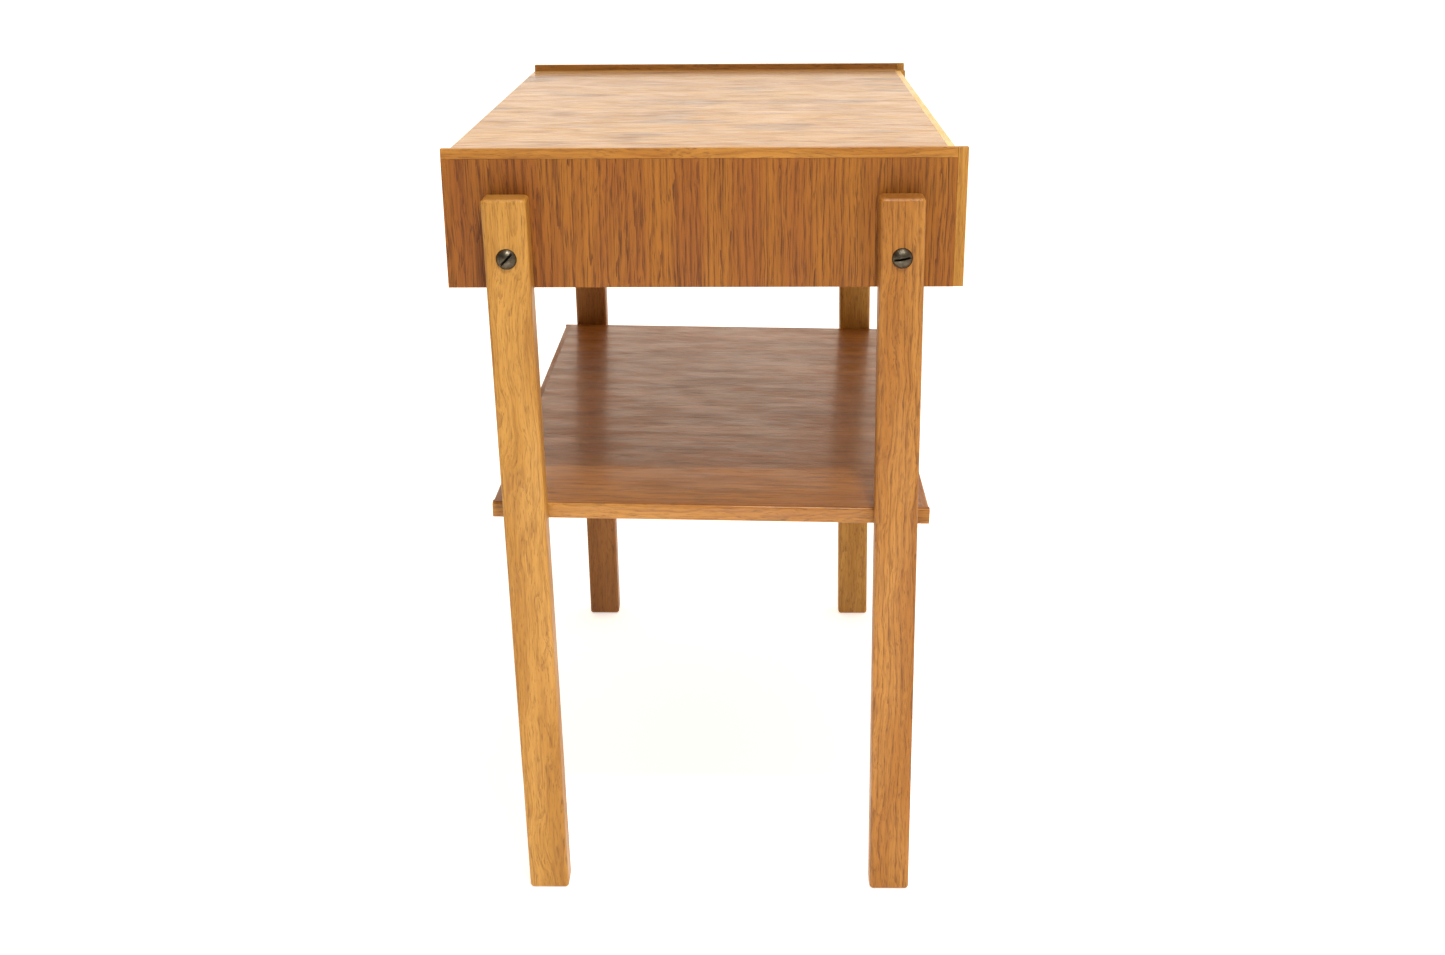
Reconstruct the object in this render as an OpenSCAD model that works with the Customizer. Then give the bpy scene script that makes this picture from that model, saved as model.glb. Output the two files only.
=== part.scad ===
// Oak side table with one drawer and a low shelf.
// The case hangs between four legs that are bolted to the outside of its sides.
// Origin: on the floor, midway across the table's width and its depth.
// +Z is up, the drawer opens towards -Y, and left and right are seen from the front.

/* [Case] */
// Height of the table, from the floor to the top edge of the sides
table_h = 568.5; // [480:0.5:680]
// Width of the case over its two sides
case_w = 506; // [400:1:680]
// Depth of the case
case_d = 350; // [280:1:450]
// Height of the sides
case_h = 94; // [78:0.5:130]
// Thickness of each side
side_t = 18; // [17:0.5:30]
// Height of the solid strip along each side's top edge
side_top_lipping_t = 7; // [6.5:0.5:10]
// Thickness of the solid strip down each side's front edge
side_front_lipping_t = 7; // [4:0.5:10]
// Height of the lip that stands up above the top, along each side's outer edge
lip_h = 5.5; // [3:0.5:6]
// Thickness of the lip
lip_t = 4; // [3:0.5:8]
// Thickness of the top
top_t = 16; // [12:1:19]
// How far the top and the drawer front lie behind the sides' front edge
front_setback = 4.5; // [2:0.5:8]
// Thickness of the solid strip along the top's front edge
top_lipping_t = 5; // [3:0.5:8]
// Thickness of the back
back_t = 12; // [10:1:16]
// Thickness of the bottom
bottom_t = 8; // [6:0.5:10]
// Height of the bottom's underside above the sides' lower edge
bottom_raise = 2; // [1:0.5:5]
// Depth of the grooves that hold the bottom
bottom_groove = 4; // [2:0.5:6]

/* [Legs] */
// Width of each leg, seen from the table's side
leg_w = 30; // [24:1:40]
// Thickness of each leg
leg_t = 21; // [16:1:28]
// Rounding of the legs' edges
leg_edge_r = 3; // [1:0.5:5]
// Distance from the sides' top edge down to the legs' top ends
leg_top_drop = 30; // [18:0.5:38]
// Height of the leg bolts above the sides' lower edge
bolt_up = 24; // [22:0.5:39]
// Distance from the case's front and back to the leg bolts
bolt_inset = 43.5; // [30:0.5:70]
// How much the legs' feet lean towards the front, in degrees
leg_lean = 0.7; // [0:0.1:2]
// How much the legs' feet lean in towards the shelf, in degrees
leg_toe_in = 1.3; // [0:0.1:2]

/* [Leg bolts] */
// Diameter of the bolts
bolt_d = 6; // [5:0.5:8]
// Diameter of the bolts' domed heads
bolt_head_d = 14; // [11:0.5:18]
// Height of the domed heads
bolt_head_h = 4; // [2.5:0.5:6]
// Width of the slots
slot_w = 1.6; // [1:0.2:2.4]
// Thickness of metal left under the slots
slot_floor = 1; // [0.6:0.2:2]
// How far each slot is turned up from level: left back, left front, right back, right front
slot_turns = [45, 10, 70, -30]; // [-90:1:90]
// Outside diameter of the threaded inserts in the sides
insert_d = 10; // [9:0.5:12]
// Length of the threaded inserts
insert_l = 15; // [10:1:17]

/* [Shelf] */
// Height of the shelf's upper face above the floor, at its middle
shelf_top_z = 313; // [180:1:400]
// Thickness of the shelf
shelf_t = 12; // [10:1:19]
// Depth of the shelf
shelf_d = 314; // [220:1:400]
// How much the shelf slopes down towards the front, in degrees
shelf_slope = 1; // [0:0.1:2]
// Thickness of the solid strips round the shelf
shelf_lipping_t = 5; // [3:0.5:8]
// Rounding of the shelf's edges
shelf_edge_r = 2; // [1:0.5:4]
// Gap between the shelf's ends and the legs
shelf_end_gap = 0.2; // [0.1:0.1:1]

/* [Dowels] */
// Diameter of the dowels between the top and the sides
dowel_d = 8; // [6:1:8]
// Diameter of the dowels in the back and the shelf
small_dowel_d = 6; // [4:1:6]
// How far the dowels reach into the board that they hold
dowel_reach = 16; // [12:1:24]
// How far the dowels reach into a side or a leg
dowel_socket = 12; // [8:1:14]
// Number of dowels along each end of the top
top_dowel_count = 3; // [2:1:5]
// Distance from the top's front and back to its first and last dowels
top_dowel_inset = 40; // [25:1:60]
// Distance from the back's upper and lower edges to its dowels
back_dowel_inset = 12; // [10:1:18]
// Distance between the two dowels in each leg
shelf_dowel_pitch = 14; // [10:1:16]

/* [Drawer] */
// Gap round the drawer front
drawer_gap = 1.5; // [1:0.5:3]
// Thickness of the drawer front
drawer_front_t = 16; // [14:1:19]
// Thickness of the drawer sides
drawer_side_t = 12; // [11:0.5:15]
// Thickness of the drawer back
drawer_back_t = 10; // [8:1:12]
// Thickness of the drawer bottom
drawer_bottom_t = 4; // [3:0.5:5]
// Gap between the drawer sides and the sides of the case
drawer_side_gap = 4; // [2:0.5:8]
// Gap between the drawer and the case's bottom
drawer_under_gap = 2; // [1:0.5:4]
// Gap between the drawer sides and the top
drawer_over_gap = 8; // [3:0.5:14]
// Gap between the drawer and the case's back
drawer_rear_gap = 6; // [3:0.5:20]
// How far the drawer bottom lies above the drawer sides' lower edge
drawer_bottom_up = 5; // [4:0.5:8]
// Depth of the grooves that hold the drawer's bottom and back
drawer_groove = 4; // [3:0.5:5]
// How far the dovetails reach into the drawer front
tail_reach = 10; // [8:0.5:12]
// Number of dovetails on each drawer side
tail_count = 2; // [1:1:3]
// How far each dovetail widens on each side, over its length
tail_flare = 2; // [1:0.5:3]

/* [Runners] */
// Height of the runners
runner_h = 10; // [8:0.5:12]
// Depth of the runner grooves in the drawer sides
runner_groove = 5; // [4:0.5:7]
// Clearance between a runner and its groove
runner_clear = 0.5; // [0.3:0.1:1]
// Diameter of the screws' shanks
screw_d = 3.5; // [3:0.5:4]
// Diameter of the countersunk screw heads
screw_head_d = 7; // [6:0.5:8]
// How far the screws reach into the sides
screw_bite = 14; // [8:1:16]
// Number of screws in each runner
screw_count = 3; // [2:1:4]
// Distance from a runner's ends to its outer screws
screw_inset = 60; // [40:1:80]

/* [Pull] */
// Length of the pull
pull_w = 110; // [60:1:160]
// Height of the pull
pull_h = 15; // [12:0.5:20]
// How far the pull stands out from the drawer front
pull_out = 18; // [17:0.5:24]
// How far the pull's front edge curves back towards its ends
pull_bow = 3; // [1:0.5:4]
// Radius of the finger hollow under the pull
hollow_r = 6; // [4:0.5:6.5]
// Thickness of the wall between the finger hollow and the drawer front
hollow_wall = 1.5; // [1:0.5:2.5]
// Distance between the pull's two screws
pull_screw_pitch = 64; // [30:1:96]
// Diameter of the pull's screws
pull_screw_d = 4; // [3:0.5:5]
// How far the pull's screws reach into it
pull_screw_bite = 9; // [6:0.5:10]
// Diameter of the pull's screw heads
pull_screw_head_d = 8; // [7:0.5:9]
// Height of the pull's screw heads
pull_screw_head_h = 2.4; // [2:0.2:3]

/* [Hidden] */
$fn = 48;

LEFT = -1;
RIGHT = 1;
FRONT = -1;
BACK = 1;

// A small overlap so that cuts pass cleanly through the faces that they meet.
past = 1;

// Case
pull_overhang = pull_out - front_setback;
front_y = (pull_overhang - case_d) / 2;
back_y = front_y + case_d;
middle_y = (front_y + back_y) / 2;
side_x = case_w / 2;
inner_x = side_x - side_t;
case_bottom_z = table_h - case_h;
core_top_z = table_h - side_top_lipping_t;
top_z = table_h - lip_h;
top_under_z = top_z - top_t;
face_y = front_y + front_setback;
back_inner_y = back_y - back_t;
bottom_z = case_bottom_z + bottom_raise;
bottom_top_z = bottom_z + bottom_t;
bottom_front_y = face_y + drawer_front_t + drawer_gap;

// Legs: their faces and centre lines, at any height z
ball_facets = 24;
leg_top_z = table_h - leg_top_drop;
bolt_z = case_bottom_z + bolt_up;
bolt_ys = [back_y - bolt_inset, front_y + bolt_inset];
function leg_inner_x(z) = side_x - (leg_top_z - z) * tan(leg_toe_in);
function leg_y(bolt_y, z) = bolt_y - (bolt_z - z) * tan(leg_lean);
function row_y(row) = row == BACK ? bolt_ys[0] : bolt_ys[1];

// Leg bolts: each head has a level seat cut into the leaning face of its leg
bolt_seat_x = leg_inner_x(bolt_z) + leg_t - tan(leg_toe_in) * bolt_head_d / 2;
bolt_tip_x = side_x - insert_l + past;
bolt_clear = 0.5;

// Shelf
shelf_low_z = shelf_top_z - shelf_t - shelf_d / 2 * tan(shelf_slope);
shelf_x = leg_inner_x(shelf_low_z) - shelf_end_gap;
shelf_y = middle_y - (bolt_z - shelf_top_z) * tan(leg_lean);

// Drawer box
drawer_x = inner_x - drawer_side_gap;
drawer_inner_x = drawer_x - drawer_side_t;
drawer_z = bottom_top_z + drawer_under_gap;
drawer_side_h = top_under_z - drawer_over_gap - drawer_z;
box_front_y = face_y + drawer_front_t;
box_back_y = back_inner_y - drawer_rear_gap;
drawer_front_z = case_bottom_z + drawer_gap;
drawer_front_h = top_under_z - drawer_gap - drawer_front_z;
drawer_floor_z = drawer_z + drawer_bottom_up;
drawer_floor_top_z = drawer_floor_z + drawer_bottom_t;
back_rest_y = box_back_y - drawer_back_t;

// Runners: each one fills the gap and most of its groove
runner_z = drawer_z + drawer_side_h / 2;
runner_w = drawer_side_gap + runner_groove - runner_clear;
runner_front_y = box_front_y + runner_clear;
runner_back_y = back_inner_y - runner_clear;
screw_head_h = (screw_head_d - screw_d) / 2;

// Pull
pull_z = drawer_front_z + drawer_front_h / 2;
pull_curve_r = (pow(pull_w / 2, 2) + pow(pull_bow, 2)) / (2 * pull_bow);
bow_facets = 360;
pull_screw_z = pull_z + hollow_r / 2;

OAK_VENEER = "#a86c3c";
OAK = "#d09a54";
TOP_VENEER = "#dcb48c";
BEECH = "#dcbc90";
PLYWOOD = "#d8c098";
BLACK_STEEL = "#3a3632";
BRASS = "#b89850";

// A block between two opposite corners.
module block(low, high) {
    translate(low) cube(high - low);
}

// A block on the left or right half of the table, between two distances from the middle.
module side_block(side, x_near, x_far, low_yz, high_yz) {
    block([min(side * x_near, side * x_far), low_yz[0], low_yz[1]],
          [max(side * x_near, side * x_far), high_yz[0], high_yz[1]]);
}

// A round pin that lies across the table, between two distances from the middle.
module cross_pin(side, x_near, x_far, y, z, d) {
    translate([side * x_near, y, z])
        rotate([0, side * 90, 0])
            cylinder(h = x_far - x_near, d = d);
}

// The numbers from a to b in n even steps.
function spread(a, b, n) = n < 2 ? [(a + b) / 2] : [for (i = [0:n - 1]) a + (b - a) * i / (n - 1)];

// Dowels

module top_dowels_at(side) {
    for (y = spread(face_y + top_dowel_inset, back_y - top_dowel_inset, top_dowel_count))
        cross_pin(side, inner_x - dowel_reach, inner_x + dowel_socket, y, top_z - top_t / 2, dowel_d);
}

module back_dowels_at(side) {
    for (z = [case_bottom_z + back_dowel_inset, top_under_z - back_dowel_inset])
        cross_pin(side, inner_x - dowel_reach, inner_x + dowel_socket,
                  back_y - back_t / 2, z, small_dowel_d);
}

// The shelf's own frame: its origin is at the middle of the shelf's upper face.
module on_shelf() {
    translate([0, shelf_y, shelf_top_z])
        rotate([shelf_slope, 0, 0])
            children();
}

module shelf_dowels_at(side, row) {
    leg_offset_y = leg_y(row_y(row), shelf_top_z) - shelf_y;
    on_shelf()
        for (along = [-1, 1])
            cross_pin(side, shelf_x - dowel_reach, shelf_x + dowel_socket,
                      leg_offset_y + along * shelf_dowel_pitch / 2, -shelf_t / 2, small_dowel_d);
}

// Leg bolts and their inserts

// The hole through a leg, with the seat for the bolt's head.
module bolt_hole(side, row) {
    cross_pin(side, side_x - past, bolt_seat_x + past, row_y(row), bolt_z, bolt_d + bolt_clear);
    cross_pin(side, bolt_seat_x, bolt_seat_x + past, row_y(row), bolt_z, bolt_head_d);
}

module insert_body(side, row) {
    cross_pin(side, side_x - insert_l, side_x, row_y(row), bolt_z, insert_d);
}

module leg_bolt(side, row, turn) {
    dome_r = (pow(bolt_head_d / 2, 2) + pow(bolt_head_h, 2)) / (2 * bolt_head_h);
    cross_pin(side, bolt_tip_x, bolt_seat_x + past / 2, row_y(row), bolt_z, bolt_d);
    translate([side * bolt_seat_x, row_y(row), bolt_z])
        rotate([0, side * 90, 0])
            difference() {
                intersection() {
                    cylinder(h = bolt_head_h, d = bolt_head_d);
                    translate([0, 0, bolt_head_h - dome_r]) sphere(r = dome_r);
                }
                // the slot runs along the head's y axis when it is level
                rotate([0, 0, turn])
                    translate([-slot_w / 2, -bolt_head_d, slot_floor])
                        cube([slot_w, 2 * bolt_head_d, bolt_head_h]);
            }
}

module leg_insert(side, row) {
    difference() {
        insert_body(side, row);
        cross_pin(side, side_x - insert_l - past, side_x + past, row_y(row), bolt_z, bolt_d);
    }
}

// Case

module side_panel(side) {
    color(OAK_VENEER)
        difference() {
            side_block(side, inner_x, side_x,
                       [front_y + side_front_lipping_t, case_bottom_z], [back_y, core_top_z]);
            side_block(side, inner_x - past, inner_x + bottom_groove,
                       [bottom_front_y, bottom_z], [back_inner_y, bottom_top_z]);
            top_dowels_at(side);
            back_dowels_at(side);
            for (row = [FRONT, BACK]) insert_body(side, row);
            runner_screws_at(side);
        }
}

// The rebate that takes a side's strips down to the top's level, all but the lip at the outer edge.
module lip_rebate(side) {
    side_block(side, inner_x - past, side_x - lip_t,
               [front_y - past, top_z], [back_y + past, table_h + past]);
}

module side_top_lipping(side) {
    color(OAK)
        difference() {
            side_block(side, inner_x, side_x,
                       [front_y + side_front_lipping_t, core_top_z], [back_y, table_h]);
            lip_rebate(side);
        }
}

module side_front_lipping(side) {
    color(OAK)
        difference() {
            side_block(side, inner_x, side_x,
                       [front_y, case_bottom_z], [front_y + side_front_lipping_t, table_h]);
            lip_rebate(side);
        }
}

module top_board() {
    color(TOP_VENEER)
        difference() {
            block([-inner_x, face_y + top_lipping_t, top_under_z], [inner_x, back_y, top_z]);
            for (side = [LEFT, RIGHT]) top_dowels_at(side);
        }
}

module top_front_lipping() {
    color(OAK)
        block([-inner_x, face_y, top_under_z], [inner_x, face_y + top_lipping_t, top_z]);
}

module back_board() {
    color(OAK_VENEER)
        difference() {
            block([-inner_x, back_inner_y, case_bottom_z], [inner_x, back_y, top_under_z]);
            for (side = [LEFT, RIGHT]) back_dowels_at(side);
        }
}

module bottom_board() {
    color(PLYWOOD)
        block([-inner_x - bottom_groove, bottom_front_y, bottom_z],
              [inner_x + bottom_groove, back_inner_y, bottom_top_z]);
}

module top_dowels() {
    color(BEECH)
        for (side = [LEFT, RIGHT]) top_dowels_at(side);
}

module back_dowels() {
    color(BEECH)
        for (side = [LEFT, RIGHT]) back_dowels_at(side);
}

// Legs: rounded bars with level feet, planed flat where they bear on the sides

module leg_blank(side, row) {
    // a faceted ball is a little short of its radius, so this one is made larger to reach the faces
    ball_r = leg_edge_r / cos(180 / ball_facets);
    hull()
        for (z = [leg_edge_r, leg_top_z - leg_edge_r],
             across = [leg_edge_r, leg_t - leg_edge_r],
             along = [-1, 1])
            translate([side * (leg_inner_x(z) + across),
                       leg_y(row_y(row), z) + along * (leg_w / 2 - leg_edge_r), z])
                sphere(r = ball_r, $fn = ball_facets);
}

module leg(side, row) {
    color(OAK)
        difference() {
            leg_blank(side, row);
            side_block(side, inner_x, side_x, [front_y, case_bottom_z], [back_y, table_h]);
            bolt_hole(side, row);
            shelf_dowels_at(side, row);
        }
}

module leg_bolts() {
    color(BLACK_STEEL) {
        leg_bolt(LEFT, BACK, slot_turns[0]);
        leg_bolt(LEFT, FRONT, slot_turns[1]);
        leg_bolt(RIGHT, BACK, slot_turns[2]);
        leg_bolt(RIGHT, FRONT, slot_turns[3]);
    }
}

module leg_inserts() {
    color(BRASS)
        for (side = [LEFT, RIGHT], row = [FRONT, BACK]) leg_insert(side, row);
}

// Shelf

// The cross-section of a strip: its outer edges, at +x, are rounded over.
module strip_section() {
    r = shelf_edge_r;
    translate([0, -shelf_t]) square([shelf_lipping_t - r, shelf_t]);
    translate([0, r - shelf_t]) square([shelf_lipping_t, shelf_t - 2 * r]);
    for (z = [-r, r - shelf_t])
        translate([shelf_lipping_t - r, z]) circle(r = r);
}

// A strip along y, centred, with its rounded side towards +x and its top at z = 0.
module strip(length) {
    translate([0, length / 2, 0])
        rotate([90, 0, 0])
            linear_extrude(length) strip_section();
}

module all_shelf_dowels() {
    for (side = [LEFT, RIGHT], row = [FRONT, BACK]) shelf_dowels_at(side, row);
}

module shelf_board() {
    board_x = shelf_x - shelf_lipping_t;
    board_y = shelf_d / 2 - shelf_lipping_t;
    color(OAK_VENEER)
        difference() {
            on_shelf() block([-board_x, -board_y, -shelf_t], [board_x, board_y, 0]);
            all_shelf_dowels();
        }
}

module shelf_end_lipping(side) {
    color(OAK)
        difference() {
            on_shelf()
                rotate([0, 0, side == RIGHT ? 0 : 180])
                    translate([shelf_x - shelf_lipping_t, 0, 0])
                        strip(shelf_d);
            for (row = [FRONT, BACK]) shelf_dowels_at(side, row);
        }
}

module shelf_long_lipping(row) {
    color(OAK)
        on_shelf()
            rotate([0, 0, row * 90])
                translate([shelf_d / 2 - shelf_lipping_t, 0, 0])
                    strip(2 * (shelf_x - shelf_lipping_t));
}

module shelf_dowels() {
    color(BEECH) all_shelf_dowels();
}

// Runners

module runner_screws_at(side) {
    for (y = spread(runner_front_y + screw_inset, runner_back_y - screw_inset, screw_count)) {
        cross_pin(side, inner_x - runner_w + screw_head_h / 2, inner_x + screw_bite, y, runner_z, screw_d);
        translate([side * (inner_x - runner_w), y, runner_z])
            rotate([0, side * 90, 0])
                cylinder(h = screw_head_h, d1 = screw_head_d, d2 = screw_d);
    }
}

module runner(side) {
    color(BEECH)
        difference() {
            side_block(side, inner_x - runner_w, inner_x,
                       [runner_front_y, runner_z - runner_h / 2],
                       [runner_back_y, runner_z + runner_h / 2]);
            runner_screws_at(side);
        }
}

module runner_screws() {
    color(BRASS)
        for (side = [LEFT, RIGHT]) runner_screws_at(side);
}

// Drawer

// The dovetails on one drawer side, as they fill their sockets in the front.
module drawer_tails(side) {
    pitch = drawer_side_h / tail_count;
    neck = pitch / 2;
    for (i = [0:tail_count - 1])
        translate([side * drawer_inner_x, box_front_y, drawer_z + (i + 0.5) * pitch])
            rotate([0, side * 90, 0])
                linear_extrude(drawer_side_t)
                    polygon([[-neck / 2, 0], [neck / 2, 0],
                             [neck / 2 + tail_flare, -tail_reach],
                             [-neck / 2 - tail_flare, -tail_reach]]);
}

module drawer_front() {
    color(OAK_VENEER)
        difference() {
            block([-inner_x + drawer_gap, face_y, drawer_front_z],
                  [inner_x - drawer_gap, box_front_y, drawer_front_z + drawer_front_h]);
            for (side = [LEFT, RIGHT]) drawer_tails(side);
            drawer_bottom_blank();
            pull_screws_shape();
        }
}

module drawer_side(side) {
    color(BEECH)
        difference() {
            union() {
                side_block(side, drawer_inner_x, drawer_x,
                           [box_front_y, drawer_z], [box_back_y, drawer_z + drawer_side_h]);
                drawer_tails(side);
            }
            // groove for the runner, open at the back
            side_block(side, drawer_x - runner_groove, drawer_x + past,
                       [box_front_y, runner_z - runner_h / 2 - runner_clear],
                       [box_back_y + past, runner_z + runner_h / 2 + runner_clear]);
            drawer_bottom_blank();
            drawer_back_blank();
        }
}

module drawer_back_blank() {
    block([-drawer_inner_x - drawer_groove, back_rest_y, drawer_floor_top_z],
          [drawer_inner_x + drawer_groove, box_back_y, drawer_z + drawer_side_h + past]);
}

module drawer_back() {
    color(BEECH)
        difference() {
            intersection() {
                drawer_back_blank();
                block([-side_x, back_rest_y, drawer_z], [side_x, box_back_y, drawer_z + drawer_side_h]);
            }
            drawer_bottom_screws_shape();
        }
}

module drawer_bottom_blank() {
    block([-drawer_inner_x - drawer_groove, box_front_y - drawer_groove, drawer_floor_z],
          [drawer_inner_x + drawer_groove, box_back_y, drawer_floor_top_z]);
}

module drawer_bottom() {
    color(PLYWOOD)
        difference() {
            drawer_bottom_blank();
            drawer_bottom_screws_shape();
        }
}

module drawer_bottom_screws_shape() {
    bite = drawer_bottom_t + screw_bite;
    for (x = spread(-drawer_inner_x + screw_inset, drawer_inner_x - screw_inset, screw_count))
        translate([x, box_back_y - drawer_back_t / 2, drawer_floor_z]) {
            cylinder(h = bite, d = screw_d);
            cylinder(h = screw_head_h, d1 = screw_head_d, d2 = screw_d);
        }
}

module drawer_bottom_screws() {
    color(BRASS) drawer_bottom_screws_shape();
}

// The pull's outline from above: a bar whose front edge is bowed.
module pull_outline() {
    intersection() {
        translate([-pull_w / 2, -pull_out]) square([pull_w, pull_out]);
        translate([0, pull_curve_r - pull_out]) circle(r = pull_curve_r, $fn = bow_facets);
    }
}

module drawer_pull() {
    color(OAK)
        translate([0, face_y, pull_z])
            difference() {
                translate([0, 0, -pull_h / 2]) linear_extrude(pull_h) pull_outline();
                // finger hollow along the underside
                translate([-pull_w, -hollow_wall - hollow_r, -pull_h / 2])
                    rotate([0, 90, 0])
                        cylinder(h = 2 * pull_w, r = hollow_r);
                translate([0, -face_y, -pull_z]) pull_screws_shape();
            }
}

module pull_screws_shape() {
    for (along = [-1, 1])
        translate([along * pull_screw_pitch / 2, 0, pull_screw_z])
            rotate([-90, 0, 0]) {
                translate([0, 0, face_y - pull_screw_bite])
                    cylinder(h = drawer_front_t + pull_screw_bite + past / 2, d = pull_screw_d);
                translate([0, 0, box_front_y])
                    cylinder(h = pull_screw_head_h, d = pull_screw_head_d);
            }
}

module pull_screws() {
    color(BRASS) pull_screws_shape();
}

side_panel(LEFT);  // side_panel_left
side_panel(RIGHT);  // side_panel_right
side_top_lipping(LEFT);  // side_top_lipping_left
side_top_lipping(RIGHT);  // side_top_lipping_right
side_front_lipping(LEFT);  // side_front_lipping_left
side_front_lipping(RIGHT);  // side_front_lipping_right
top_board();
top_front_lipping();
back_board();
bottom_board();
top_dowels();
back_dowels();
leg(LEFT, BACK);  // leg_left_back
leg(LEFT, FRONT);  // leg_left_front
leg(RIGHT, BACK);  // leg_right_back
leg(RIGHT, FRONT);  // leg_right_front
leg_bolts();
leg_inserts();
shelf_board();
shelf_end_lipping(LEFT);  // shelf_end_lipping_left
shelf_end_lipping(RIGHT);  // shelf_end_lipping_right
shelf_long_lipping(FRONT);  // shelf_front_lipping
shelf_long_lipping(BACK);  // shelf_back_lipping
shelf_dowels();
runner(LEFT);  // runner_left
runner(RIGHT);  // runner_right
runner_screws();
drawer_front();
drawer_side(LEFT);  // drawer_side_left
drawer_side(RIGHT);  // drawer_side_right
drawer_back();
drawer_bottom();
drawer_bottom_screws();
drawer_pull();
pull_screws();
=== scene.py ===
"""The oak side table with its drawer: lacquered oak, blackened bolts and soft studio light."""

import math

import bpy
from mathutils import Matrix, Vector


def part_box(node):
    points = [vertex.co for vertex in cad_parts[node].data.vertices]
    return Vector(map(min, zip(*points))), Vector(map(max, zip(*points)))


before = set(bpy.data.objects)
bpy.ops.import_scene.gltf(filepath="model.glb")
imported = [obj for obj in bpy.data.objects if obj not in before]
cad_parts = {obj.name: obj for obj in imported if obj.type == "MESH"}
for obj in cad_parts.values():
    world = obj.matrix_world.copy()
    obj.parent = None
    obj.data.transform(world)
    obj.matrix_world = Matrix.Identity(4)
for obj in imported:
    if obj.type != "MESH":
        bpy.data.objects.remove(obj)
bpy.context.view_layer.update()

MM = 0.001

# Turns that bring the grain's direction onto X
GRAIN_TURNS = {
    "X": (0, 0, 0),
    "Y": (0, 0, -math.pi / 2),
    "Z": (0, math.pi / 2, 0),
}


# Colours and nodes

# A Mix node's sockets for colour
MIX_A, MIX_B, MIX_RESULT = 6, 7, 2


def linear(hex_colour):
    """An sRGB hex colour as linear RGBA."""
    channels = [int(hex_colour[i:i + 2], 16) / 255 for i in (1, 3, 5)]
    return [c / 12.92 if c <= 0.04045 else ((c + 0.055) / 1.055) ** 2.4 for c in channels] + [1]


def palette(light, warm, dark, pore):
    """A wood's four colours."""
    return {"light": linear(light), "warm": linear(warm), "dark": linear(dark), "pore": linear(pore)}


def add(tree, kind, settings, inputs):
    """Adds a node with its settings, and sets each input or links it to a socket."""
    node = tree.nodes.new(kind)
    for name, value in settings.items():
        setattr(node, name, value)
    for name, value in inputs.items():
        if isinstance(value, bpy.types.NodeSocket):
            tree.links.new(value, node.inputs[name])
        else:
            node.inputs[name].default_value = value
    return node


def new_material(name):
    """A material, its node tree and its main shader."""
    material = bpy.data.materials.new(name)
    material.use_nodes = True
    return material, material.node_tree, material.node_tree.nodes["Principled BSDF"]


def noise(tree, place, along, across, seed, low=0.0, high=1.0, to_low=0.0, to_high=1.0):
    """Noise whose features are this long and wide along and across the grain, eased to a range."""
    scaled = add(tree, "ShaderNodeVectorMath", {"operation": "MULTIPLY_ADD"}, {
        0: place, 1: (1 / along, 1 / across, 1 / across), 2: (seed, seed, seed)})
    field = add(tree, "ShaderNodeTexNoise", {}, {
        "Vector": scaled.outputs[0], "Scale": 1.0, "Detail": 3.0, "Roughness": 0.55})
    eased = add(tree, "ShaderNodeMapRange", {"interpolation_type": "SMOOTHSTEP"}, {
        "Value": field.outputs["Fac"], "From Min": low, "From Max": high,
        "To Min": to_low, "To Max": to_high})
    return eased.outputs["Result"]


def laid_over(tree, under, over, mask, share):
    """One colour laid over another where a mask is strong, at most by the given share."""
    amount = add(tree, "ShaderNodeMath", {"operation": "MULTIPLY"}, {0: mask, 1: share})
    mix = add(tree, "ShaderNodeMix", {"data_type": "RGBA"}, {
        "Factor": amount.outputs[0], MIX_A: under, MIX_B: over})
    return mix.outputs[MIX_RESULT]


# Wood

OAK_VENEER = palette("#99601e", "#8a501a", "#572c0b", "#341a06")
SHELF_VENEER = palette("#915c25", "#7e4b1e", "#5b3415", "#3b200e")
TOP_VENEER = palette("#a87f40", "#986b32", "#6f4424", "#492b1a")
# a very pale yellow palette: partly the strip's light wood, partly a painted highlight on its upper face
PALE_HIGHLIGHT_OAK = palette("#e2c070", "#d0aa58", "#b08640", "#80602a")
PALE_OAK = palette("#bc8b41", "#a6742d", "#845520", "#553511")
GOLDEN_OAK = palette("#b47f36", "#9d6523", "#75451b", "#4b2a0d")
FIGURED_OAK = palette("#b17b37", "#9d6524", "#6e4015", "#43240a")
# a darker brown palette, used as painted shade on the far top lip and on the far leg in the case's
# shadow
SHADE_DARKENED_OAK = palette("#9b672d", "#85511f", "#623b15", "#42260d")
BEECH = palette("#dcb98a", "#cfa676", "#bb9060", "#9c7244")
BIRCH = palette("#dcc296", "#cfb184", "#b8986a", "#a4835a")


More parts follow.
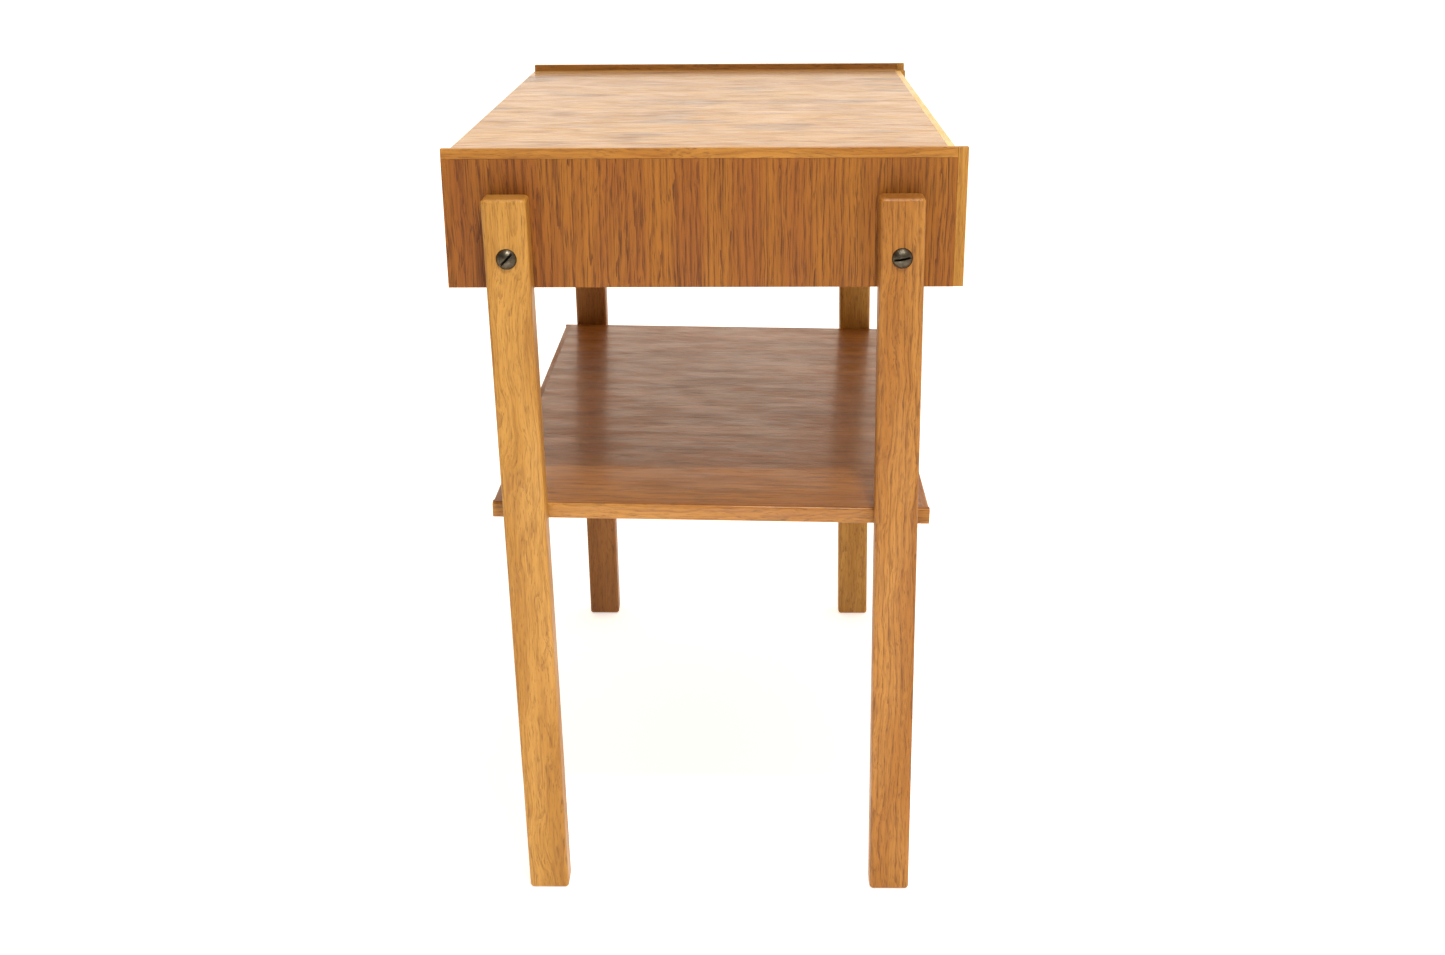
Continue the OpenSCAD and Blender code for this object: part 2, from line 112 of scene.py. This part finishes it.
def early_wood(tree, place, ring, pith, seed):
    """The dark start of each growth ring, broken up along the grain."""
    # rings are long cones round the pith, so a flat face cuts them into slender arches
    taper = 0.06
    early_share = 0.45
    from_pith = add(tree, "ShaderNodeVectorMath", {"operation": "SUBTRACT"}, {0: place, 1: pith})
    squeezed = add(tree, "ShaderNodeVectorMath", {"operation": "MULTIPLY"}, {
        0: from_pith.outputs[0], 1: (taper, 1, 1)})
    radius = add(tree, "ShaderNodeVectorMath", {"operation": "LENGTH"}, {0: squeezed.outputs[0]})
    uneven = noise(tree, place, 110 * MM, 8 * MM, seed + 7, 0, 1, 0, 1.6)
    rings = add(tree, "ShaderNodeMath", {"operation": "MULTIPLY_ADD"}, {
        0: radius.outputs["Value"], 1: 1 / ring, 2: uneven})
    in_ring = add(tree, "ShaderNodeMath", {"operation": "FRACT"}, {0: rings.outputs[0]})
    line = add(tree, "ShaderNodeMapRange", {"interpolation_type": "SMOOTHSTEP"}, {
        "Value": in_ring.outputs[0], "From Min": 0.0, "From Max": early_share,
        "To Min": 1.0, "To Max": 0.0})
    broken = noise(tree, place, 14 * MM, 1.2 * MM, seed + 9, 0.35, 0.6, 0.25, 1)
    dashes = add(tree, "ShaderNodeMath", {"operation": "MULTIPLY"}, {0: line.outputs[0], 1: broken})
    return dashes.outputs[0]


def along_grain(tree, grain, sway, seed):
    """Each point's place with the grain turned onto X, swaying to each side over a hand's length."""
    coordinates = add(tree, "ShaderNodeTexCoord", {}, {})
    turned = add(tree, "ShaderNodeMapping", {}, {
        "Vector": coordinates.outputs["Object"], "Rotation": GRAIN_TURNS[grain]})
    shift = noise(tree, turned.outputs[0], 160 * MM, 45 * MM, seed + 3, 0, 1, -sway, sway)
    sideways = add(tree, "ShaderNodeCombineXYZ", {}, {1: shift, 2: shift})
    place = add(tree, "ShaderNodeVectorMath", {"operation": "ADD"}, {
        0: turned.outputs[0], 1: sideways.outputs[0]})
    return place.outputs[0]


def facing(tree, turn, low, high):
    """How squarely a face looks along X once its normal is turned, eased between two cosines."""
    coordinates = add(tree, "ShaderNodeTexCoord", {}, {})
    turned = add(tree, "ShaderNodeMapping", {}, {
        "Vector": coordinates.outputs["Normal"], "Rotation": turn})
    split = add(tree, "ShaderNodeSeparateXYZ", {}, {0: turned.outputs[0]})
    square = add(tree, "ShaderNodeMath", {"operation": "ABSOLUTE"}, {0: split.outputs["X"]})
    share = add(tree, "ShaderNodeMapRange", {"interpolation_type": "SMOOTHSTEP"}, {
        "Value": square.outputs[0], "From Min": low, "From Max": high})
    return share.outputs["Result"]


def wood(name, grain, colours, ring, pith, seed, sway=10 * MM, ring_share=0.5,
         pore_length=10 * MM, pore_share=0.45, roughness=0.44, coat=0.0,
         stain=None, stain_share=0.0, face_colours=None):
    """Planed wood: rings round a pith, streaks and pores along the grain, slow changes of tone."""
    material, tree, shader = new_material(name)
    place = along_grain(tree, grain, sway, seed)
    early = early_wood(tree, place, ring, pith, seed)
    tones = noise(tree, place, 260 * MM, 22 * MM, seed + 17, 0.3, 0.7)
    streaks = noise(tree, place, 80 * MM, 1.5 * MM, seed + 13, 0.42, 0.7)
    # real pores are finer than this, and would not show
    pore_width = 0.8 * MM
    pores = noise(tree, place, pore_length, pore_width, seed + 11, 0.52, 0.68)

    def painted(tints):
        """The wood in one set of colours."""
        colour = laid_over(tree, tints["light"], tints["warm"], tones, 1)
        colour = laid_over(tree, colour, tints["dark"], streaks, 0.35)
        colour = laid_over(tree, colour, tints["dark"], early, ring_share)
        return laid_over(tree, colour, tints["pore"], pores, pore_share)

    colour = painted(colours)
    if face_colours:
        # the face veneer runs over the strip, so the strip's own wood shows only on its edge
        upright = facing(tree, GRAIN_TURNS["Z"], 0.8, 0.95)
        colour = laid_over(tree, colour, painted(face_colours), upright, 1)
    if stain:
        cloud = noise(tree, place, 100 * MM, 40 * MM, seed + 23, 0.5, 0.7)
        colour = laid_over(tree, colour, linear(stain), cloud, stain_share)
    # end grain drinks more finish, so it is darker
    end_grain = facing(tree, GRAIN_TURNS[grain], 0.6, 0.95)
    colour = laid_over(tree, colour, colours["dark"], end_grain, 0.6)

    bump = add(tree, "ShaderNodeBump", {"invert": True}, {
        "Strength": 0.5, "Distance": 0.06 * MM, "Height": pores})
    uneven = noise(tree, place, 60 * MM, 20 * MM, seed + 29, 0.35, 0.65,
                   roughness - 0.07, roughness + 0.09)
    tree.links.new(colour, shader.inputs["Base Color"])
    tree.links.new(uneven, shader.inputs["Roughness"])
    tree.links.new(bump.outputs[0], shader.inputs["Normal"])
    # lacquer of IOR 1.5, at half strength because its film is thin and open-pored
    shader.inputs["IOR"].default_value = 1.5
    shader.inputs["Specular IOR Level"].default_value = 0.25
    if coat:
        # the polish is worn through along the grain
        sheen = noise(tree, place, 28 * MM, 1.4 * MM, seed + 31, 0.38, 0.62, coat * 1.35, coat * 0.35)
        tree.links.new(sheen, shader.inputs["Coat Weight"])
    shader.inputs["Coat Roughness"].default_value = 0.16
    return material


def side_veneer():
    """Sliced oak veneer with upright grain, under a yellowed satin lacquer."""
    return wood("side_oak_veneer", "Z", OAK_VENEER, 3.8 * MM, (0, 0.26, 0.02), 1, sway=5 * MM,
                ring_share=0.85, pore_length=26 * MM, pore_share=0.6, roughness=0.46)


def front_veneer():
    """The same veneer with its grain across the table's width."""
    return wood("front_oak_veneer", "X", OAK_VENEER, 3.8 * MM, (0, 0.05, -0.42), 2, sway=5 * MM,
                ring_share=0.85, pore_length=26 * MM, pore_share=0.6, roughness=0.46)


def shelf_veneer():
    """The shelf's oak veneer: glossier, as it has had less use, with a faint old stain."""
    return wood("shelf_oak_veneer", "Y", SHELF_VENEER, 3.2 * MM, (0, 0.02, -0.25), 3, sway=2 * MM,
                ring_share=0.75, pore_length=24 * MM, pore_share=0.6, roughness=0.38, coat=0.34,
                stain="#42281a", stain_share=0.3)


def worn_top_veneer():
    """The top's oak veneer, whose lacquer is worn and stained in soft purplish clouds."""
    return wood("worn_oak_veneer", "Y", TOP_VENEER, 3.2 * MM, (0, 0.03, -0.12), 41, sway=3 * MM,
                ring_share=0.75, pore_length=24 * MM, pore_share=0.75, roughness=0.4, coat=0.58,
                stain="#48281a", stain_share=0.75)


def solid_oak(name, grain, colours, seed, coat=0.0, face_colours=None):
    """Planed solid oak under a yellowed satin lacquer, for strips cut from a board's edge."""
    return wood(name, grain, colours, 4.5 * MM, (0, 0.1, -0.1), seed, ring_share=0.45,
                coat=coat, face_colours=face_colours)


def leg_oak(name, colours, ring_share, seed):
    """Planed solid oak under a yellowed satin lacquer, with upright grain."""
    return wood(name, "Z", colours, 5 * MM, (0, 0.11, 0.23), seed, ring_share=ring_share)


def bare_beech(name, grain):
    """Bare planed beech: matt, pale pinkish brown with short flecks."""
    return wood(name, grain, BEECH, 4 * MM, (0, 0.07, 0.05), 5, ring_share=0.2,
                pore_length=4 * MM, pore_share=0.3, roughness=0.6)


def birch_plywood():
    """Sanded birch plywood: matt and pale, with faint broad figure."""
    return wood("birch_plywood", "X", BIRCH, 6 * MM, (0, 0.05, -0.2), 9, ring_share=0.2,
                pore_share=0.15, roughness=0.62)


# Metal

def metal(name, colour, stain, roughness):
    """Metal whose finish has dulled a little unevenly, with grime and painted shade darkening its
    crevices.
    """
    material, tree, shader = new_material(name)
    coordinates = add(tree, "ShaderNodeTexCoord", {}, {})
    place = coordinates.outputs["Object"]
    dull = noise(tree, place, 2 * MM, 2 * MM, 0, 0.3, 0.7)
    shade = laid_over(tree, linear(colour), linear(stain), dull, 1)
    # painted shade: near-black is laid into the crevices and slots wherever ambient occlusion is low,
    # together with some grime
    open_air = add(tree, "ShaderNodeAmbientOcclusion", {"samples": 8}, {"Distance": 2 * MM})
    crevice_shade_and_grime = add(tree, "ShaderNodeMapRange", {"interpolation_type": "SMOOTHSTEP"}, {
        "Value": open_air.outputs["AO"], "From Min": 0.45, "From Max": 0.9, "To Min": 1, "To Max": 0})
    shade = laid_over(tree, shade, linear("#0c0a08"), crevice_shade_and_grime.outputs["Result"], 0.95)
    uneven = noise(tree, place, 2 * MM, 2 * MM, 0, 0.3, 0.7, roughness - 0.05, roughness + 0.1)
    tree.links.new(shade, shader.inputs["Base Color"])
    tree.links.new(uneven, shader.inputs["Roughness"])
    shader.inputs["Metallic"].default_value = 1.0
    return material


def black_steel():
    """The leg bolts' blackened steel, worn to brown-grey, with fine marks round each middle."""
    material = metal("blackened_steel", "#5c5648", "#4a443a", 0.4)
    tree = material.node_tree
    low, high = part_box("leg_bolts")
    head_radius = (high.z - low.z) / 2
    half_pitch = (high.y - low.y) / 2 - head_radius
    coordinates = add(tree, "ShaderNodeTexCoord", {}, {})
    centred = add(tree, "ShaderNodeVectorMath", {"operation": "SUBTRACT"}, {
        0: coordinates.outputs["Object"], 1: (low + high) / 2})
    split = add(tree, "ShaderNodeSeparateXYZ", {}, {0: centred.outputs[0]})
    aside = add(tree, "ShaderNodeMath", {"operation": "ABSOLUTE"}, {0: split.outputs["Y"]})
    from_axis = add(tree, "ShaderNodeMath", {"operation": "SUBTRACT"}, {
        0: aside.outputs[0], 1: half_pitch})
    flat = add(tree, "ShaderNodeCombineXYZ", {}, {1: from_axis.outputs[0], 2: split.outputs["Z"]})
    outward = add(tree, "ShaderNodeVectorMath", {"operation": "NORMALIZE"}, {0: flat.outputs[0]})
    marks = noise(tree, outward.outputs[0], 1, 0.18, 0)
    bump = add(tree, "ShaderNodeBump", {}, {"Strength": 0.8, "Distance": 0.15 * MM, "Height": marks})
    tree.links.new(bump.outputs[0], tree.nodes["Principled BSDF"].inputs["Normal"])
    return material


def dull_brass():
    """Turned brass, dulled by air, for the inserts and the wood screws."""
    return metal("dulled_brass", "#b8934c", "#9a7a40", 0.36)


FINISHES = [
    (side_veneer(), ["side_panel_left", "side_panel_right"]),
    (front_veneer(), ["back_board", "drawer_front"]),
    (worn_top_veneer(), ["top_board"]),
    (shelf_veneer(), ["shelf_board"]),
    (solid_oak("left_lip_oak", "Y", GOLDEN_OAK, 7, face_colours=TOP_VENEER), ["side_top_lipping_left"]),
    # the far top lip gets the darker brown palette as painted shade, since it lies in less light than
    # the near lip
    (solid_oak("right_lip_oak_shade_darkened", "Y", SHADE_DARKENED_OAK, 8, face_colours=TOP_VENEER), ["side_top_lipping_right"]),
    (solid_oak("upright_strip_oak", "Z", PALE_OAK, 16),
     ["side_front_lipping_left", "side_front_lipping_right"]),
    # the top's front strip is painted very pale, partly its own light wood and partly a painted
    # highlight
    (solid_oak("top_strip_oak_highlight", "X", PALE_HIGHLIGHT_OAK, 12, coat=0.5), ["top_front_lipping"]),
    (solid_oak("shelf_end_oak", "Y", GOLDEN_OAK, 10, coat=0.1, face_colours=SHELF_VENEER),
     ["shelf_end_lipping_left", "shelf_end_lipping_right"]),
    (solid_oak("shelf_edge_oak", "X", GOLDEN_OAK, 11, coat=0.1, face_colours=SHELF_VENEER),
     ["shelf_front_lipping", "shelf_back_lipping"]),
    (solid_oak("pull_oak", "X", GOLDEN_OAK, 13), ["drawer_pull"]),
    (leg_oak("pale_leg_oak", PALE_OAK, 0.5, 21), ["leg_left_back", "leg_right_front"]),
    (leg_oak("figured_leg_oak", FIGURED_OAK, 0.75, 14), ["leg_left_front"]),
    # the far leg under the case gets the darker brown palette as painted shade for the case's shadow
    (leg_oak("shade_darkened_leg_oak", SHADE_DARKENED_OAK, 0.4, 15), ["leg_right_back"]),
    (bare_beech("beech_along_the_depth", "Y"),
     ["runner_left", "runner_right", "drawer_side_left", "drawer_side_right"]),
    (bare_beech("beech_along_the_width", "X"),
     ["drawer_back", "top_dowels", "back_dowels", "shelf_dowels"]),
    (birch_plywood(), ["bottom_board", "drawer_bottom"]),
    (black_steel(), ["leg_bolts"]),
    (dull_brass(), ["leg_inserts", "runner_screws", "drawer_bottom_screws", "pull_screws"]),
]


# Edges

def soften_edges(piece, width):
    """Rounds a piece's sharp edges a little, as sandpaper leaves them."""
    weld = piece.modifiers.new("weld", "WELD")
    weld.merge_threshold = 0.001 * MM
    bevel = piece.modifiers.new("arris", "BEVEL")
    bevel.width = width
    bevel.segments = 2
    bevel.limit_method = "ANGLE"
    bevel.angle_limit = math.radians(50)
    bevel.harden_normals = True


ARRISES = {
    0.3 * MM: ["side_panel_left", "side_panel_right", "top_board", "back_board", "shelf_board",
               "bottom_board", "drawer_bottom"],
    0.4 * MM: ["side_top_lipping_left", "side_top_lipping_right", "side_front_lipping_left",
               "side_front_lipping_right", "top_front_lipping", "drawer_front",
               "drawer_side_left", "drawer_side_right", "drawer_back", "runner_left",
               "runner_right", "drawer_pull"],
    0.2 * MM: ["leg_bolts"],
}

for material, names in FINISHES:
    for name in names:
        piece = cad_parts[name]
        piece.data.materials.clear()
        piece.data.materials.append(material)

for width, names in ARRISES.items():
    for name in names:
        soften_edges(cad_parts[name], width)


# Stage, camera and light

def pale_floor():
    """A floor of matt white paper, 40 m wide."""
    material, tree, shader = new_material("white_paper")
    coordinates = add(tree, "ShaderNodeTexCoord", {}, {})
    fibres = noise(tree, coordinates.outputs["Object"], 2 * MM, 2 * MM, 0)
    paper = laid_over(tree, linear("#f6f5f3"), linear("#f0efec"), fibres, 1)
    tree.links.new(paper, shader.inputs["Base Color"])
    # a little glow of its own keeps the table's shadow faint
    shader.inputs["Emission Color"].default_value = linear("#ffffff")
    shader.inputs["Emission Strength"].default_value = 0.6
    shader.inputs["Roughness"].default_value = 0.9
    shader.inputs["Specular IOR Level"].default_value = 0.1
    half = 40 / 2
    mesh = bpy.data.meshes.new("floor")
    mesh.from_pydata([(-half, -half, 0), (half, -half, 0), (half, half, 0), (-half, half, 0)], [],
                     [(0, 1, 2, 3)])
    floor = bpy.data.objects.new("floor", mesh)
    bpy.context.scene.collection.objects.link(floor)
    mesh.materials.append(material)


def place_camera():
    """A camera off the table's left end, a little above it, that looks down along +X."""
    panel_low, panel_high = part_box("side_panel_left")
    lip_low, lip_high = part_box("side_top_lipping_left")
    away = 1.091
    above = 0.1709
    off_middle = -0.037
    middle_y = (lip_low.y + panel_high.y) / 2
    place = Vector((panel_low.x - away, middle_y + off_middle, lip_high.z + above))
    # angles in degrees: the turn from +X towards +Y, the tilt below level, and the roll
    turn, tilt, lean = 1.186, 20.265, -0.4125
    heading = Matrix.Rotation(math.radians(turn - 90), 4, "Z")
    pitch = Matrix.Rotation(math.radians(90 - tilt), 4, "X")
    roll = Matrix.Rotation(math.radians(lean), 4, "Z")
    data = bpy.data.cameras.new("camera")
    data.sensor_fit = "HORIZONTAL"
    data.sensor_width = 36
    data.lens = 40.873
    camera = bpy.data.objects.new("camera", data)
    camera.matrix_world = Matrix.Translation(place) @ heading @ pitch @ roll
    bpy.context.scene.collection.objects.link(camera)
    bpy.context.scene.camera = camera


def soft_light(name, power, size, target, distance, azimuth, elevation):
    """A square soft box aimed at a point, from an azimuth counted from -X towards -Y."""
    data = bpy.data.lights.new(name, "AREA")
    data.energy = power
    data.size = size
    light = bpy.data.objects.new(name, data)
    flat = distance * math.cos(math.radians(elevation))
    light.location = target + Vector((
        -flat * math.cos(math.radians(azimuth)),
        -flat * math.sin(math.radians(azimuth)),
        distance * math.sin(math.radians(elevation))))
    light.rotation_euler = (target - light.location).to_track_quat("-Z", "Y").to_euler()
    bpy.context.scene.collection.objects.link(light)


def studio_lights():
    """A key light above the left end, and a weak one near the floor that lifts the feet."""
    low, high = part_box("side_panel_left")
    middle_y = (low.y + high.y) / 2
    foot = Vector((low.x, middle_y, 0.05))
    case_edge = Vector((low.x, middle_y, low.z))
    soft_light("key", power=22, size=0.1, target=case_edge, distance=1.5, azimuth=13, elevation=61)
    soft_light("low_fill", power=0.8, size=0.3, target=foot, distance=0.45, azimuth=0, elevation=8)


def studio_walls(bright, dim):
    """A warm white wall and ceiling beyond the table, fading to a dim room on the camera's side."""
    world = bpy.data.worlds.new("studio")
    world.use_nodes = True
    tree = world.node_tree
    brightest = (0.75, -0.3, 0.55)
    direction = add(tree, "ShaderNodeTexCoord", {}, {})
    towards = add(tree, "ShaderNodeVectorMath", {"operation": "DOT_PRODUCT"}, {
        0: direction.outputs["Generated"], 1: brightest})
    strength = add(tree, "ShaderNodeMapRange", {"interpolation_type": "SMOOTHSTEP"}, {
        "Value": towards.outputs["Value"], "From Min": -0.3, "From Max": 0.8,
        "To Min": dim, "To Max": bright})
    background = tree.nodes["Background"]
    background.inputs["Color"].default_value = linear("#ffebd6")
    tree.links.new(strength.outputs["Result"], background.inputs["Strength"])
    bpy.context.scene.world = world


pale_floor()
place_camera()
studio_lights()
studio_walls(bright=1.5, dim=0.12)
bpy.context.scene.view_settings.view_transform = "Standard"
